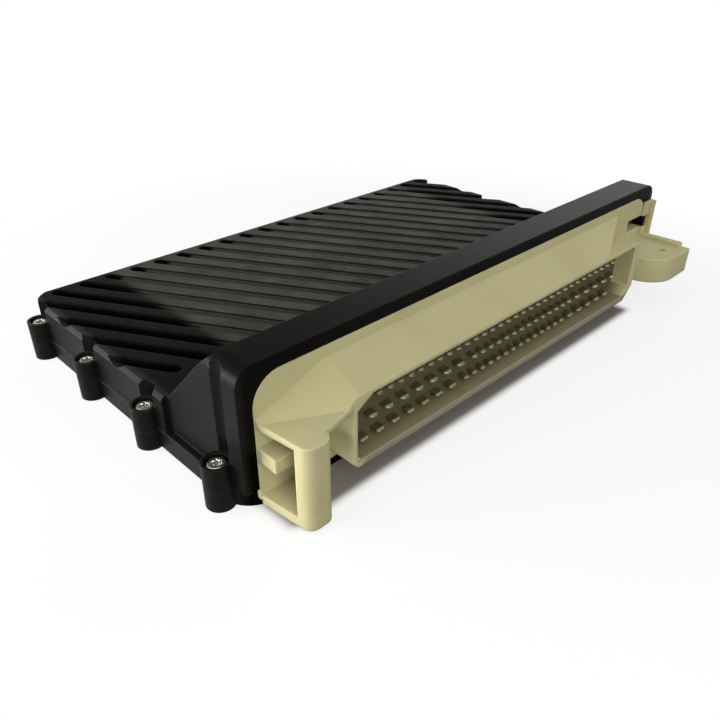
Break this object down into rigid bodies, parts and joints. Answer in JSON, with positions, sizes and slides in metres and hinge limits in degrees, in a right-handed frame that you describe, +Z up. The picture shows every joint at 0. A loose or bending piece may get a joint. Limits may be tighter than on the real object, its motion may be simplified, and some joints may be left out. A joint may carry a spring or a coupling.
{
  "type": "engine control unit",
  "caption": "Finned black engine control unit with a raised front frame and a wide cream plug header with blade pins, a hook and a latch lug.",
  "frame": {"origin": "centre of the flat underside of the casting", "axes": "+X along the plug header, +Y from the header to the rear wall, +Z up out of the finned plate"},
  "size_m": [0.2064, 0.1389, 0.0405],
  "materials": {
    "casting_black": "satin",
    "header_plastic": "matte",
    "pin_metal": "tinned, bright",
    "screw_steel": "zinc plated",
    "seal_rubber": "matte",
    "board_laminate": "satin solder resist",
    "chip_black": "matte moulding compound",
    "lead_tin": "tinned",
    "capacitor_can": "sleeved can",
    "ferrite_grey": "matte",
    "crystal_can": "plain",
    "chip_ceramic": "matte",
    "pad_silicone": "soft"
  },
  "bodies": {
    "root": {"upper_housing": "casting_black", "lower_housing": "casting_black", "case_screws": "screw_steel", "housing_seal": "seal_rubber", "header_body": "header_plastic", "header_seal": "seal_rubber", "signal_pins_top": "pin_metal", "signal_pins_middle": "pin_metal", "signal_pins_bottom": "pin_metal", "power_pins_middle": "pin_metal", "power_pins_bottom": "pin_metal", "header_screws": "screw_steel", "circuit_board": "board_laminate", "board_screws": "screw_steel", "heat_pads": "pad_silicone", "processor_body": "chip_black", "processor_leads": "lead_tin", "memory_chip": "chip_black", "injector_drivers": "chip_black", "ignition_drivers": "chip_black", "supply_regulator": "chip_black", "reservoir_capacitors": "capacitor_can", "supply_inductor": "ferrite_grey", "clock_crystal": "crystal_can", "bus_transceivers": "chip_black", "surge_diode": "chip_black", "chip_resistors": "chip_ceramic", "chip_capacitors": "chip_ceramic"}
  },
  "joints": []
}
